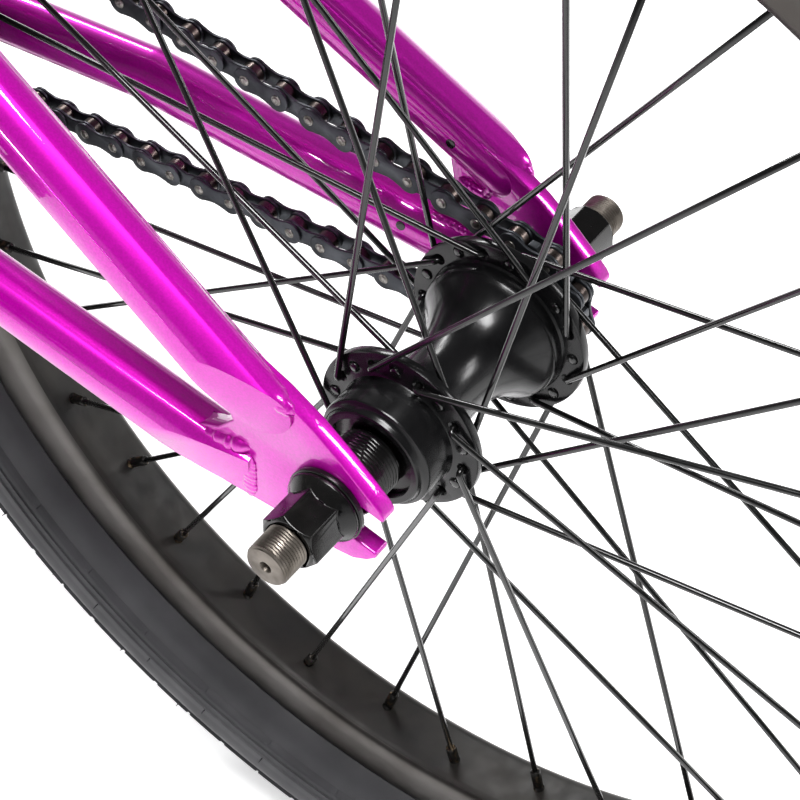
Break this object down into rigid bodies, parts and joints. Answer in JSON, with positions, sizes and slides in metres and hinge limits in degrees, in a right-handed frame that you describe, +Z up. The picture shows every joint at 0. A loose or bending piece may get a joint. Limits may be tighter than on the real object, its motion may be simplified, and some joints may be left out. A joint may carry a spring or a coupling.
{
  "type": "bmx bicycle",
  "caption": "Small-wheeled freestyle bicycle without brakes: steel frame, threadless fork, high handlebar, low pivotal saddle, spoked wheels and a single-speed chain.",
  "frame": {"origin": "middle of the bounding box on the ground, under the two tyres", "axes": "+X forward along the wheelbase, +Y to the rider's left, +Z up"},
  "size_m": [1.4476, 0.7382, 0.9432],
  "materials": {
    "frame_paint": "glossy candy magenta paint",
    "black_paint": "gloss black paint",
    "black_metal": "black plated steel",
    "black_anodised": "satin black over aluminium",
    "steel": "bare machined steel",
    "chain_steel": "dark oiled steel",
    "tyre": "dark grey tyre rubber",
    "rubber": "black rubber",
    "saddle_foam": "black woven cover over foam",
    "plastic": "black moulded plastic"
  },
  "bodies": {
    "frame": {"head_tube": "frame_paint", "top_tube": "frame_paint", "down_tube": "frame_paint", "seat_tube": "frame_paint", "bottom_bracket_shell": "frame_paint", "chain_stays": "frame_paint", "seat_stays": "frame_paint", "left_dropout": "frame_paint", "right_dropout": "frame_paint", "seat_clamp": "black_anodised", "seat_clamp_bolt": "black_metal", "headset_bearings": "steel", "bottom_bracket_bearings": "steel", "chain_inner_links": "chain_steel", "chain_outer_links": "chain_steel", "rear_axle": "steel", "rear_axle_nuts": "black_metal", "rear_axle_washers": "black_metal", "rear_axle_cones": "black_metal"},
    "seat": {"seat_post": "black_anodised", "saddle_base": "plastic", "saddle_pad": "saddle_foam", "saddle_bolt": "black_metal"},
    "steering": {"fork_steerer": "black_paint", "fork_legs": "black_paint", "fork_dropouts": "black_paint", "headset_covers": "black_anodised", "stem_body": "black_anodised", "stem_faceplate": "black_anodised", "stem_bolts": "black_metal", "handlebar": "black_paint", "handlebar_crossbar": "black_paint", "grips": "rubber", "stem_top_cap": "black_anodised", "front_axle": "steel", "front_axle_nuts": "black_metal", "front_axle_cones": "black_metal"},
    "front_wheel": {"front_hub": "black_anodised", "front_rim": "black_anodised", "front_tyre": "tyre", "front_inner_tube": "rubber", "front_spokes": "black_metal", "front_nipples": "black_metal"},
    "rear_wheel": {"rear_hub": "black_anodised", "rear_hub_bearings": "steel", "rear_rim": "black_anodised", "rear_tyre": "tyre", "rear_inner_tube": "rubber", "rear_spokes": "black_metal", "rear_nipples": "black_metal"},
    "driver": {"rear_driver": "chain_steel"},
    "crank": {"crank_spindle": "steel", "left_crank_arm": "black_paint", "right_crank_arm": "black_paint", "sprocket": "black_anodised", "crank_bolts": "steel", "crank_spacers": "black_anodised", "pedal_spindles": "steel"},
    "left_pedal": {"left_pedal": "plastic"},
    "right_pedal": {"right_pedal": "plastic"}
  },
  "joints": [
    {"name": "seat_height", "type": "slide", "parent": "frame", "child": "seat", "axis": [-0.3256, 0, 0.9455], "range_m": [-0.03, 0.05]},
    {"name": "steering_turn", "type": "hinge", "parent": "frame", "child": "steering", "pos_m": [0.34026, 0, 0.60843], "axis": [-0.2588, 0, 0.9659], "continuous": true},
    {"name": "front_wheel_spin", "type": "hinge", "parent": "steering", "child": "front_wheel", "pos_m": [0.465, 0, 0.2588], "axis": [0, 1, 0], "continuous": true},
    {"name": "rear_wheel_spin", "type": "hinge", "parent": "frame", "child": "rear_wheel", "pos_m": [-0.465, 0, 0.2588], "axis": [0, 1, 0], "continuous": true},
    {"name": "crank_spin", "type": "hinge", "parent": "frame", "child": "crank", "pos_m": [-0.11575, 0, 0.2948], "axis": [0, 1, 0], "continuous": true, "deforming": ["chain_inner_links", "chain_outer_links"]},
    {"name": "driver_spin", "type": "hinge", "parent": "frame", "child": "driver", "pos_m": [-0.465, 0, 0.2588], "axis": [0, 1, 0], "continuous": true},
    {"name": "left_pedal_spin", "type": "hinge", "parent": "crank", "child": "left_pedal", "pos_m": [-0.29075, 0, 0.2948], "axis": [0, 1, 0], "continuous": true},
    {"name": "right_pedal_spin", "type": "hinge", "parent": "crank", "child": "right_pedal", "pos_m": [0.05925, 0, 0.2948], "axis": [0, 1, 0], "continuous": true}
  ],
  "couplings": [
    {"joint": "driver_spin", "follows": "crank_spin", "ratio": 2.6667}
  ]
}
